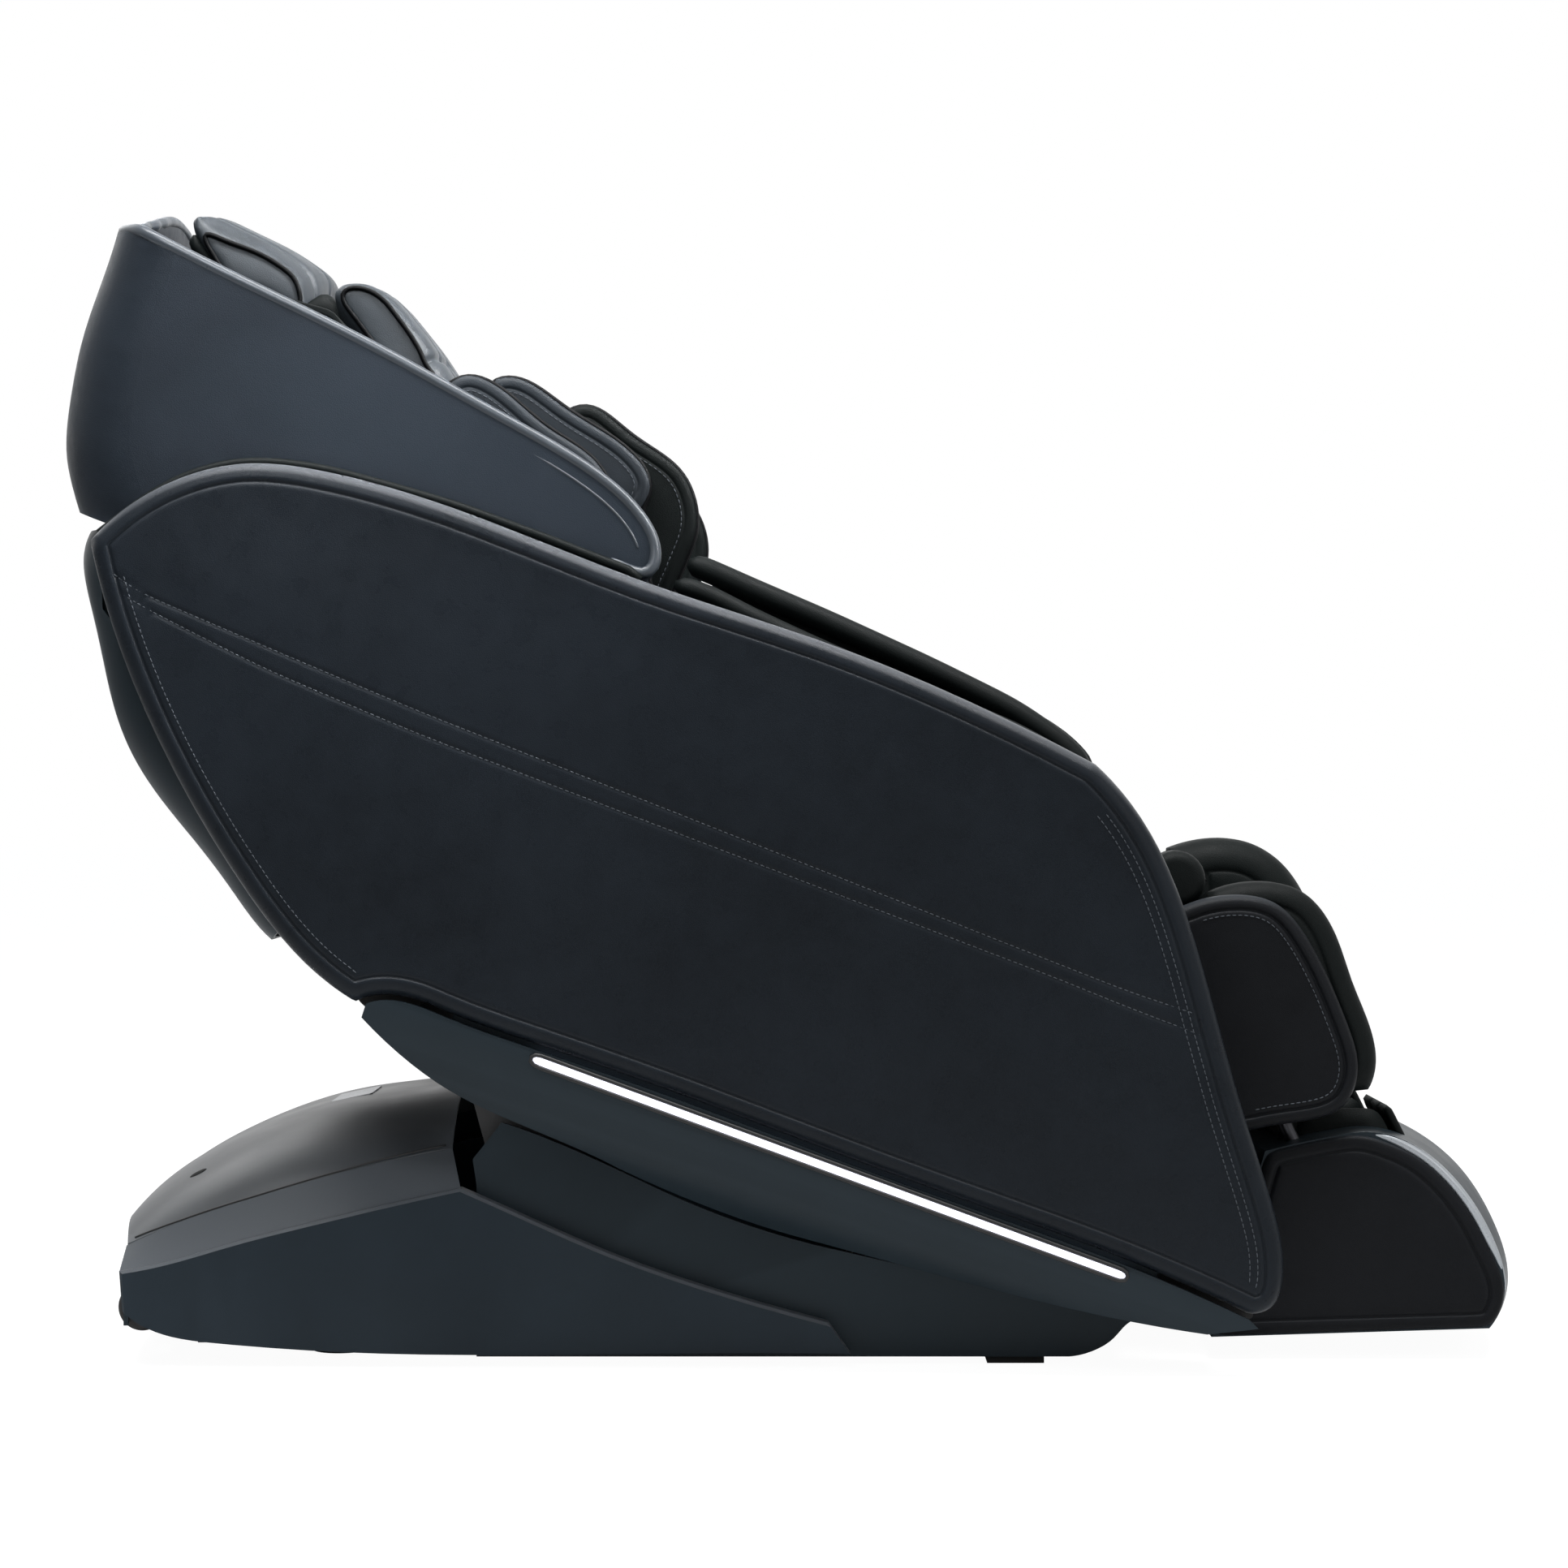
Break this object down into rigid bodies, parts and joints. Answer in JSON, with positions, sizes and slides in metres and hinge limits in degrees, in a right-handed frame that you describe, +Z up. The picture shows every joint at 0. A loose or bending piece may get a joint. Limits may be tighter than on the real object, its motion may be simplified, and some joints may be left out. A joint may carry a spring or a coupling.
{
  "type": "massage chair",
  "caption": "Massage chair with padded side leaves, reclining bucket back, shoulder wings, arm channels, a rising and extending leg rest and a low plinth base with light strips.",
  "frame": {"origin": "on the floor, under the middle of the chair's overall box", "axes": "+X forward to the feet, +Y to the sitter's left, +Z up"},
  "size_m": [1.5321, 0.772, 1.222],
  "materials": {
    "leather_slate": "fine-grained slate blue-black synthetic leather, satin",
    "leather_shell": "smooth slate synthetic leather, satin",
    "pad_black": "soft matt black synthetic leather",
    "pad_slate": "soft slate synthetic leather",
    "plastic_slate": "fine-textured slate plastic",
    "plastic_lid": "satin lacquered slate plastic",
    "plastic_black": "black moulded plastic",
    "light_strip": "lit white diffuser",
    "badge_metal": "brushed, bare",
    "frame_paint": "black powder coat",
    "dark_steel": "black zinc-plated",
    "rubber_black": "matt",
    "wheel_black": "hard black nylon"
  },
  "bodies": {
    "base": {"base_frame": "frame_paint", "base_pins": "dark_steel", "base_lid": "plastic_lid", "badge_plate": "badge_metal", "left_base_cover": "plastic_slate", "right_base_cover": "plastic_slate", "rear_apron": "plastic_slate", "mains_inlet": "plastic_black", "power_supply": "plastic_black", "pedestal_shell": "plastic_slate", "rubber_feet": "rubber_black"},
    "power_switch": {"power_switch": "plastic_black"},
    "left_wheel": {"left_transport_wheel": "wheel_black"},
    "right_wheel": {"right_transport_wheel": "wheel_black"},
    "seat": {"seat_frame": "frame_paint", "seat_pins": "dark_steel", "seat_cushion": "pad_black", "left_side_panel": "leather_slate", "right_side_panel": "leather_slate", "left_lower_trim": "plastic_slate", "right_lower_trim": "plastic_slate", "left_light_strip": "light_strip", "right_light_strip": "light_strip", "left_armrest": "pad_black", "right_armrest": "pad_black", "rear_cover": "plastic_slate", "belly_cover": "plastic_black", "air_pump": "plastic_black", "leg_motor": "plastic_black"},
    "back": {"back_frame": "frame_paint", "lever_pin": "dark_steel", "back_shell": "leather_shell", "back_liner": "pad_black", "back_pad": "pad_slate", "head_pillow": "pad_slate", "left_outer_shoulder_wing": "pad_slate", "left_middle_shoulder_wing": "pad_slate", "left_inner_shoulder_wing": "pad_black", "right_outer_shoulder_wing": "pad_slate", "right_middle_shoulder_wing": "pad_slate", "right_inner_shoulder_wing": "pad_black"},
    "carriage": {"carriage_plate": "frame_paint", "rail_wheels": "wheel_black", "carriage_motor": "plastic_black"},
    "kneading_head": {"kneading_rollers": "wheel_black"},
    "leg_rest": {"calf_frame": "frame_paint", "left_calf_panel": "leather_slate", "right_calf_panel": "leather_slate", "calf_side_pads": "pad_black", "knee_divider": "pad_black", "calf_back_pads": "pad_black"},
    "foot_rest": {"foot_shell": "plastic_slate", "foot_slides": "dark_steel", "foot_mats": "pad_black"},
    "sole_rollers": {"sole_rollers": "wheel_black"},
    "tilt_barrel": {"tilt_actuator": "plastic_black"},
    "tilt_rod": {"tilt_rod": "dark_steel"},
    "recline_barrel": {"recline_actuator": "plastic_black"},
    "recline_rod": {"recline_rod": "dark_steel"}
  },
  "joints": [
    {"name": "seat_tilt", "type": "hinge", "parent": "base", "child": "seat", "pos_m": [-0.303, 0, 0.22], "axis": [0, -1, 0], "range_deg": [0, 12]},
    {"name": "back_recline", "type": "hinge", "parent": "seat", "child": "back", "pos_m": [-0.083, 0, 0.56], "axis": [0, -1, 0], "range_deg": [0, 22]},
    {"name": "legrest_lift", "type": "hinge", "parent": "seat", "child": "leg_rest", "pos_m": [0.387, 0, 0.5], "axis": [0, -1, 0], "range_deg": [0, 55]},
    {"name": "foot_extend", "type": "slide", "parent": "leg_rest", "child": "foot_rest", "axis": [0.4478, 0, -0.8942], "range_m": [0, 0.1505]},
    {"name": "carriage_travel", "type": "slide", "parent": "back", "child": "carriage", "axis": [-0.5736, 0, 0.8192], "range_m": [-0.18, 0.18]},
    {"name": "kneading_spin", "type": "hinge", "parent": "carriage", "child": "kneading_head", "pos_m": [-0.34122, 0, 0.82215], "axis": [0, -1, 0], "continuous": true},
    {"name": "sole_roller_spin", "type": "hinge", "parent": "foot_rest", "child": "sole_rollers", "pos_m": [0.577, 0, 0.088], "axis": [0, -1, 0], "continuous": true},
    {"name": "left_wheel_spin", "type": "hinge", "parent": "base", "child": "left_wheel", "pos_m": [-0.691, 0.2525, 0.056], "axis": [0, -1, 0], "continuous": true},
    {"name": "right_wheel_spin", "type": "hinge", "parent": "base", "child": "right_wheel", "pos_m": [-0.691, -0.2525, 0.056], "axis": [0, -1, 0], "continuous": true},
    {"name": "power_switch_rock", "type": "hinge", "parent": "base", "child": "power_switch", "pos_m": [-0.715, -0.092, 0.08], "axis": [0, -1, 0], "range_deg": [-8, 8]},
    {"name": "tilt_barrel_swing", "type": "hinge", "parent": "base", "child": "tilt_barrel", "pos_m": [0.077, 0, 0.075], "axis": [0, -1, 0], "range_deg": [-1, 10]},
    {"name": "tilt_rod_slide", "type": "slide", "parent": "tilt_barrel", "child": "tilt_rod", "axis": [0.1924, 0, 0.9813], "range_m": [-0.005, 0.09]},
    {"name": "recline_barrel_swing", "type": "hinge", "parent": "seat", "child": "recline_barrel", "pos_m": [0.192, -0.09, 0.315], "axis": [0, -1, 0], "range_deg": [-4, 2]},
    {"name": "recline_rod_slide", "type": "slide", "parent": "recline_barrel", "child": "recline_rod", "axis": [-0.9905, 0, 0.1372], "range_m": [-0.085, 0.005]}
  ],
  "couplings": [
    {"joint": "foot_extend", "follows": "legrest_lift", "m_per_rad": 0.15626},
    {"joint": "tilt_barrel_swing", "follows": "seat_tilt", "ratio": 0.67712},
    {"joint": "tilt_rod_slide", "follows": "seat_tilt", "m_per_rad": 0.39439},
    {"joint": "recline_barrel_swing", "follows": "back_recline", "ratio": -0.069312},
    {"joint": "recline_rod_slide", "follows": "back_recline", "m_per_rad": -0.20393}
  ]
}
